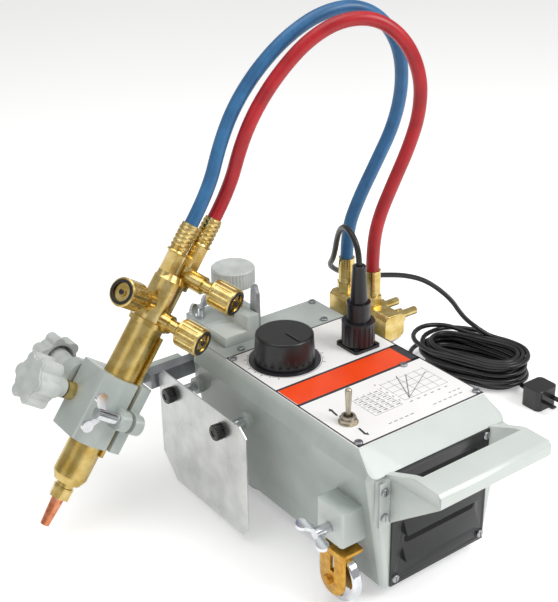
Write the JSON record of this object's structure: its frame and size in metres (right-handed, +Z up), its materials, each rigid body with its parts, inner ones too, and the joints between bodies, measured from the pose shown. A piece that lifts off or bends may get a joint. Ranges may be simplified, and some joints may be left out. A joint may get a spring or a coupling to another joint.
{
  "type": "portable torch cutting carriage",
  "caption": "Motor-driven carriage with a bevelling oxy-fuel torch on a rack-and-pinion cross bar, gas manifold, hoses, heat shield and guide wheel.",
  "frame": {"origin": "on the floor under the middle of the bounding box of everything but the hoses, cable, coil and plug", "axes": "+X across the carriage, from the torch side to the gas inlets; +Y along the travel, from the carrying handle to the cross bar; +Z up"},
  "size_m": [0.573, 0.4085, 0.4463],
  "materials": {
    "casing_paint": "satin light grey-green stove enamel on cast aluminium",
    "panel_white": "satin white with one orange band",
    "black_sheet": "satin black powder coat",
    "black_plastic": "moulded, slight sheen",
    "grey_plastic": "moulded light grey",
    "steel": "machined",
    "chrome": "bright plated",
    "zinc_yellow": "yellow passivated zinc plate",
    "stainless": "bright rolled sheet",
    "brass": "machined, lightly tarnished",
    "copper": "turned copper",
    "gear_steel": "hobbed, oiled",
    "circuit": "glass-fibre board and moulded components",
    "hose_red": "smooth red cover",
    "hose_blue": "smooth blue cover",
    "cable_black": "smooth black sheath"
  },
  "bodies": {
    "carriage": {"body_shell": "casing_paint", "base_plate": "steel", "top_panel": "panel_white", "deck_cover": "casing_paint", "vent_cover": "black_sheet", "end_handle": "casing_paint", "bearing_bushes": "brass", "case_screws": "steel", "drive_motor": "black_sheet", "control_board": "circuit", "dial_ring": "black_plastic", "toggle_switch": "chrome", "connector_socket": "black_plastic", "connector_boot": "black_plastic", "shield_posts": "chrome", "heat_shield": "stainless", "shield_thumbscrews": "black_plastic", "manifold_bracket": "casing_paint", "gas_manifold": "brass", "manifold_unions": "brass", "crossfeed_housing": "casing_paint", "fuel_hose": "hose_red", "oxygen_hose": "hose_blue", "power_cable": "cable_black", "cable_coil": "cable_black", "mains_plug": "black_plastic"},
    "front_wheels": {"front_wheelset": "steel"},
    "drive_wheels": {"rear_wheelset": "steel", "drive_gear": "gear_steel"},
    "motor_shaft": {"motor_pinion": "gear_steel"},
    "guide_post": {"guide_post": "steel"},
    "guide_fork": {"guide_fork": "zinc_yellow"},
    "guide_wheel": {"guide_wheel": "chrome"},
    "guide_wing_screw": {"guide_wing_screw": "chrome"},
    "speed_knob": {"speed_knob": "black_plastic"},
    "toggle_lever": {"toggle_lever": "chrome"},
    "connector_ring": {"connector_ring": "black_plastic"},
    "crossfeed_shaft": {"crossfeed_pinion": "gear_steel", "crossfeed_knob": "grey_plastic"},
    "clutch_lever": {"clutch_lever": "steel"},
    "bar_wing_nut": {"bar_wing_nut": "chrome"},
    "cross_bar": {"cross_bar": "steel", "bevel_arm": "casing_paint", "arm_screws": "steel"},
    "bevel_knob": {"bevel_knob": "grey_plastic"},
    "torch_clamp": {"torch_clamp": "casing_paint", "lift_bush": "brass"},
    "clamp_wing_screw": {"clamp_wing_screw": "chrome"},
    "lift_shaft": {"lift_pinion": "gear_steel", "lift_knob": "grey_plastic"},
    "torch": {"nozzle": "copper", "nozzle_nut": "brass", "torch_barrel": "brass", "torch_tubes": "brass", "valve_block": "brass", "torch_unions": "brass"},
    "preheat_oxygen_valve": {"preheat_oxygen_valve": "brass"},
    "fuel_valve": {"fuel_valve": "brass"},
    "cutting_oxygen_valve": {"cutting_oxygen_valve": "brass"}
  },
  "joints": [
    {"name": "front_axle_spin", "type": "hinge", "parent": "carriage", "child": "front_wheels", "pos_m": [0.0598, -0.07575, 0.022], "axis": [1, 0, 0], "continuous": true},
    {"name": "drive_axle_spin", "type": "hinge", "parent": "carriage", "child": "drive_wheels", "pos_m": [0.0598, 0.05925, 0.022], "axis": [1, 0, 0], "continuous": true},
    {"name": "motor_spin", "type": "hinge", "parent": "carriage", "child": "motor_shaft", "pos_m": [0.0598, 0.04241, 0.0381], "axis": [1, 0, 0], "continuous": true},
    {"name": "guide_height", "type": "slide", "parent": "carriage", "child": "guide_post", "axis": [0, 0, 1], "range_m": [-0.01, 0.003]},
    {"name": "guide_swivel", "type": "hinge", "parent": "guide_post", "child": "guide_fork", "pos_m": [-0.0227, -0.11225, 0.057], "axis": [0, 0, 1], "range_deg": [-60, 0]},
    {"name": "guide_wheel_spin", "type": "hinge", "parent": "guide_fork", "child": "guide_wheel", "pos_m": [-0.0232, -0.11475, 0.024], "axis": [1, 0, 0], "continuous": true},
    {"name": "guide_wing_turn", "type": "hinge", "parent": "carriage", "child": "guide_wing_screw", "pos_m": [-0.0336, -0.11225, 0.074], "axis": [-1, 0, 0], "range_deg": [0, 360]},
    {"name": "speed_dial", "type": "hinge", "parent": "carriage", "child": "speed_knob", "pos_m": [0.0308, 0.03225, 0.147], "axis": [0, 0, 1], "range_deg": [-135, 135]},
    {"name": "direction_switch", "type": "hinge", "parent": "carriage", "child": "toggle_lever", "pos_m": [0.0078, -0.08575, 0.147], "axis": [1, 0, 0], "range_deg": [-12, 12]},
    {"name": "connector_ring_turn", "type": "hinge", "parent": "carriage", "child": "connector_ring", "pos_m": [0.1008, 0.01225, 0.15], "axis": [0, 0, 1], "range_deg": [0, 360]},
    {"name": "bar_slide", "type": "slide", "parent": "carriage", "child": "cross_bar", "axis": [-1, 0, 0], "range_m": [0, 0.08]},
    {"name": "crossfeed_turn", "type": "hinge", "parent": "carriage", "child": "crossfeed_shaft", "pos_m": [0.0408, 0.12745, 0.15], "axis": [0, 0, 1], "range_deg": [0, 660]},
    {"name": "clutch_swing", "type": "hinge", "parent": "carriage", "child": "clutch_lever", "pos_m": [0.0408, 0.09225, 0.158], "axis": [1, 0, 0], "range_deg": [-5, 30]},
    {"name": "bar_wing_turn", "type": "hinge", "parent": "carriage", "child": "bar_wing_nut", "pos_m": [0.0098, 0.14125, 0.153], "axis": [0, 0, 1], "range_deg": [0, 720]},
    {"name": "torch_bevel", "type": "hinge", "parent": "cross_bar", "child": "torch_clamp", "pos_m": [-0.11993, 0.10925, 0.13062], "axis": [0, 1, 0], "range_deg": [-35.8, 9.2]},
    {"name": "bevel_knob_turn", "type": "hinge", "parent": "torch_clamp", "child": "bevel_knob", "pos_m": [-0.11993, 0.10925, 0.13062], "axis": [0, 1, 0], "range_deg": [0, 360]},
    {"name": "clamp_wing_turn", "type": "hinge", "parent": "torch_clamp", "child": "clamp_wing_screw", "pos_m": [-0.11508, 0.08275, 0.11171], "axis": [-0.8111, 0, 0.585], "range_deg": [0, 360]},
    {"name": "torch_lift", "type": "slide", "parent": "torch_clamp", "child": "torch", "axis": [0.585, 0, 0.8111], "range_m": [0, 0.04], "deforming": ["fuel_hose", "oxygen_hose"]},
    {"name": "lift_turn", "type": "hinge", "parent": "torch_clamp", "child": "lift_shaft", "pos_m": [-0.11508, 0.13205, 0.11171], "axis": [-0.8111, 0, 0.585], "range_deg": [0, 465]},
    {"name": "preheat_oxygen_turn", "type": "hinge", "parent": "torch", "child": "preheat_oxygen_valve", "pos_m": [-0.0536, 0.10925, 0.19695], "axis": [-0.7669, -0.3256, 0.5531], "range_deg": [0, 720]},
    {"name": "fuel_turn", "type": "hinge", "parent": "torch", "child": "fuel_valve", "pos_m": [-0.02352, 0.10925, 0.21644], "axis": [0.3299, -0.9135, -0.2379], "range_deg": [0, 720]},
    {"name": "cutting_oxygen_turn", "type": "hinge", "parent": "torch", "child": "cutting_oxygen_valve", "pos_m": [-0.0598, 0.10925, 0.18836], "axis": [0.3299, -0.9135, -0.2379], "range_deg": [0, 720]}
  ],
  "couplings": [
    {"joint": "motor_spin", "follows": "drive_axle_spin", "ratio": -2.2857},
    {"joint": "crossfeed_turn", "follows": "bar_slide", "rad_per_m": 142.86},
    {"joint": "lift_turn", "follows": "torch_lift", "rad_per_m": 200}
  ]
}
